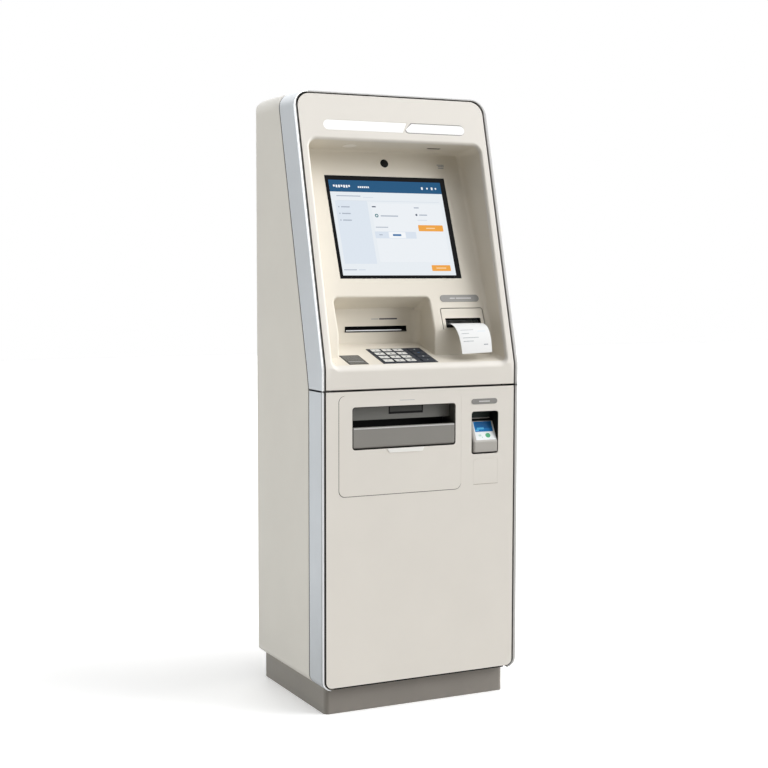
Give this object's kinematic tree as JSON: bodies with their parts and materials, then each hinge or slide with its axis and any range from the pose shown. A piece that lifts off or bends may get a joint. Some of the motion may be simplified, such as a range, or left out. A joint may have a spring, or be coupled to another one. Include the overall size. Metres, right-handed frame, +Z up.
{
  "type": "cash machine",
  "caption": "Free-standing cash machine with a leaning screen fascia that lifts, a keypad shelf, a receipt printer and a front door with cash tray and card reader.",
  "frame": {"origin": "on the floor, under the middle of the bounding box", "axes": "+X to the user's right, +Y into the machine, +Z up"},
  "size_m": [0.57, 0.456, 1.6],
  "materials": {
    "body_paint": "satin warm light grey powder coat",
    "plinth_paint": "matte warm grey paint",
    "silver_trim": "satin anodised aluminium with a bright front edge",
    "zinc_steel": "zinc plated sheet",
    "safe_paint": "dark grey textured paint",
    "grey_plastic": "fine grained warm grey plastic",
    "machine_grey": "grey sheet and plastic, as one block",
    "black_plastic": "matte black plastic",
    "pin_steel": "turned steel",
    "sign_lens": "lit white diffuser",
    "screen_glass": "touch glass over a lit display",
    "keypad_plastic": "dark blue-grey plastic",
    "key_steel": "fine blasted steel keys",
    "roller_rubber": "smooth rubber",
    "thermal_paper": "smooth white thermal paper"
  },
  "bodies": {
    "cabinet": {"plinth": "plinth_paint", "base_plate": "zinc_steel", "cabinet_shell": "body_paint", "upper_trim": "silver_trim", "lower_trim": "silver_trim", "back_panel": "body_paint", "mains_inlet": "black_plastic", "mid_shelf": "zinc_steel", "safe_body": "safe_paint", "safe_door": "safe_paint", "cash_cassette_1": "grey_plastic", "cash_cassette_2": "grey_plastic", "cash_cassette_3": "grey_plastic", "cash_dispenser": "machine_grey", "pc_box": "black_plastic", "fascia_hinge_pin": "pin_steel", "door_hinge_pin": "pin_steel"},
    "fan": {"fan_rotor": "black_plastic"},
    "fascia": {"fascia_frame": "body_paint", "recess_walls": "body_paint", "display_panel": "body_paint", "cash_alcove": "body_paint", "slot_bezel": "silver_trim", "sign_lens_left": "sign_lens", "sign_lens_right": "sign_lens", "touch_glass": "screen_glass", "monitor_housing": "black_plastic", "camera_lens": "black_plastic", "keypad_shelf": "body_paint", "keypad_frame": "keypad_plastic", "reader_plate": "grey_plastic", "printer_bezel": "body_paint", "printer_body": "zinc_steel", "receipt_paper": "thermal_paper"},
    "door": {"lower_door": "body_paint", "module_panel": "body_paint", "tray_housing": "black_plastic", "card_reader": "grey_plastic"},
    "tray_flap_body": {"tray_flap": "grey_plastic"},
    "shutter": {"cash_shutter": "grey_plastic"},
    "lock_flap": {"lock_cover": "body_paint"},
    "lock": {"door_lock": "pin_steel"},
    "paper": {"paper_roll": "thermal_paper"},
    "platen": {"platen_roller": "roller_rubber"},
    "key_1_cap": {"key_1": "key_steel"},
    "key_2_cap": {"key_2": "key_steel"},
    "key_3_cap": {"key_3": "key_steel"},
    "key_4_cap": {"key_4": "key_steel"},
    "key_5_cap": {"key_5": "key_steel"},
    "key_6_cap": {"key_6": "key_steel"},
    "key_7_cap": {"key_7": "key_steel"},
    "key_8_cap": {"key_8": "key_steel"},
    "key_9_cap": {"key_9": "key_steel"},
    "key_10_cap": {"key_10": "key_steel"},
    "key_11_cap": {"key_11": "key_steel"},
    "key_12_cap": {"key_12": "key_steel"},
    "function_key_1_cap": {"function_key_1": "keypad_plastic"},
    "function_key_2_cap": {"function_key_2": "keypad_plastic"},
    "function_key_3_cap": {"function_key_3": "keypad_plastic"},
    "function_key_4_cap": {"function_key_4": "keypad_plastic"}
  },
  "joints": [
    {"name": "fascia_swing", "type": "hinge", "parent": "cabinet", "child": "fascia", "pos_m": [0, -0.03699, 1.57797], "axis": [-1, 0, 0], "range_deg": [0, 45]},
    {"name": "door_swing", "type": "hinge", "parent": "cabinet", "child": "door", "pos_m": [-0.261, -0.2205, 0.45], "axis": [0, 0, -1], "range_deg": [0, 90]},
    {"name": "tray_flap_tilt", "type": "hinge", "parent": "door", "child": "tray_flap_body", "pos_m": [-0.05175, -0.2213, 0.6908], "axis": [1, 0, 0], "range_deg": [0, 25], "stiffness_Nm_per_rad": 0.15, "springref_deg": -28.65},
    {"name": "cash_shutter_slide", "type": "slide", "parent": "door", "child": "shutter", "axis": [0, 0, -1], "range_m": [0, 0.02]},
    {"name": "lock_cover_lift", "type": "hinge", "parent": "door", "child": "lock_flap", "pos_m": [0.189, -0.225, 0.6382], "axis": [-1, 0, 0], "range_deg": [0, 100]},
    {"name": "door_lock_turn", "type": "hinge", "parent": "door", "child": "lock", "pos_m": [0.189, -0.2, 0.606], "axis": [0, 1, 0], "range_deg": [0, 90]},
    {"name": "paper_roll_spin", "type": "hinge", "parent": "fascia", "child": "paper", "pos_m": [0.164, -0.062, 0.985], "axis": [1, 0, 0], "continuous": true},
    {"name": "platen_spin", "type": "hinge", "parent": "fascia", "child": "platen", "pos_m": [0.164, -0.126, 0.983], "axis": [1, 0, 0], "continuous": true},
    {"name": "fan_spin", "type": "hinge", "parent": "cabinet", "child": "fan", "pos_m": [0, 0.205, 1.246], "axis": [0, 1, 0], "continuous": true},
    {"name": "key_1_press", "type": "slide", "parent": "fascia", "child": "key_1_cap", "axis": [0, 0.2756, -0.9613], "range_m": [0, 0.002], "stiffness_N_per_m": 400, "springref_m": -0.002},
    {"name": "key_2_press", "type": "slide", "parent": "fascia", "child": "key_2_cap", "axis": [0, 0.2756, -0.9613], "range_m": [0, 0.002], "stiffness_N_per_m": 400, "springref_m": -0.002},
    {"name": "key_3_press", "type": "slide", "parent": "fascia", "child": "key_3_cap", "axis": [0, 0.2756, -0.9613], "range_m": [0, 0.002], "stiffness_N_per_m": 400, "springref_m": -0.002},
    {"name": "key_4_press", "type": "slide", "parent": "fascia", "child": "key_4_cap", "axis": [0, 0.2756, -0.9613], "range_m": [0, 0.002], "stiffness_N_per_m": 400, "springref_m": -0.002},
    {"name": "key_5_press", "type": "slide", "parent": "fascia", "child": "key_5_cap", "axis": [0, 0.2756, -0.9613], "range_m": [0, 0.002], "stiffness_N_per_m": 400, "springref_m": -0.002},
    {"name": "key_6_press", "type": "slide", "parent": "fascia", "child": "key_6_cap", "axis": [0, 0.2756, -0.9613], "range_m": [0, 0.002], "stiffness_N_per_m": 400, "springref_m": -0.002},
    {"name": "key_7_press", "type": "slide", "parent": "fascia", "child": "key_7_cap", "axis": [0, 0.2756, -0.9613], "range_m": [0, 0.002], "stiffness_N_per_m": 400, "springref_m": -0.002},
    {"name": "key_8_press", "type": "slide", "parent": "fascia", "child": "key_8_cap", "axis": [0, 0.2756, -0.9613], "range_m": [0, 0.002], "stiffness_N_per_m": 400, "springref_m": -0.002},
    {"name": "key_9_press", "type": "slide", "parent": "fascia", "child": "key_9_cap", "axis": [0, 0.2756, -0.9613], "range_m": [0, 0.002], "stiffness_N_per_m": 400, "springref_m": -0.002},
    {"name": "key_10_press", "type": "slide", "parent": "fascia", "child": "key_10_cap", "axis": [0, 0.2756, -0.9613], "range_m": [0, 0.002], "stiffness_N_per_m": 400, "springref_m": -0.002},
    {"name": "key_11_press", "type": "slide", "parent": "fascia", "child": "key_11_cap", "axis": [0, 0.2756, -0.9613], "range_m": [0, 0.002], "stiffness_N_per_m": 400, "springref_m": -0.002},
    {"name": "key_12_press", "type": "slide", "parent": "fascia", "child": "key_12_cap", "axis": [0, 0.2756, -0.9613], "range_m": [0, 0.002], "stiffness_N_per_m": 400, "springref_m": -0.002},
    {"name": "function_key_1_press", "type": "slide", "parent": "fascia", "child": "function_key_1_cap", "axis": [0, 0.2756, -0.9613], "range_m": [0, 0.002], "stiffness_N_per_m": 400, "springref_m": -0.002},
    {"name": "function_key_2_press", "type": "slide", "parent": "fascia", "child": "function_key_2_cap", "axis": [0, 0.2756, -0.9613], "range_m": [0, 0.002], "stiffness_N_per_m": 400, "springref_m": -0.002},
    {"name": "function_key_3_press", "type": "slide", "parent": "fascia", "child": "function_key_3_cap", "axis": [0, 0.2756, -0.9613], "range_m": [0, 0.002], "stiffness_N_per_m": 400, "springref_m": -0.002},
    {"name": "function_key_4_press", "type": "slide", "parent": "fascia", "child": "function_key_4_cap", "axis": [0, 0.2756, -0.9613], "range_m": [0, 0.002], "stiffness_N_per_m": 400, "springref_m": -0.002}
  ],
  "couplings": [
    {"joint": "platen_spin", "follows": "paper_roll_spin", "ratio": 4.5}
  ]
}
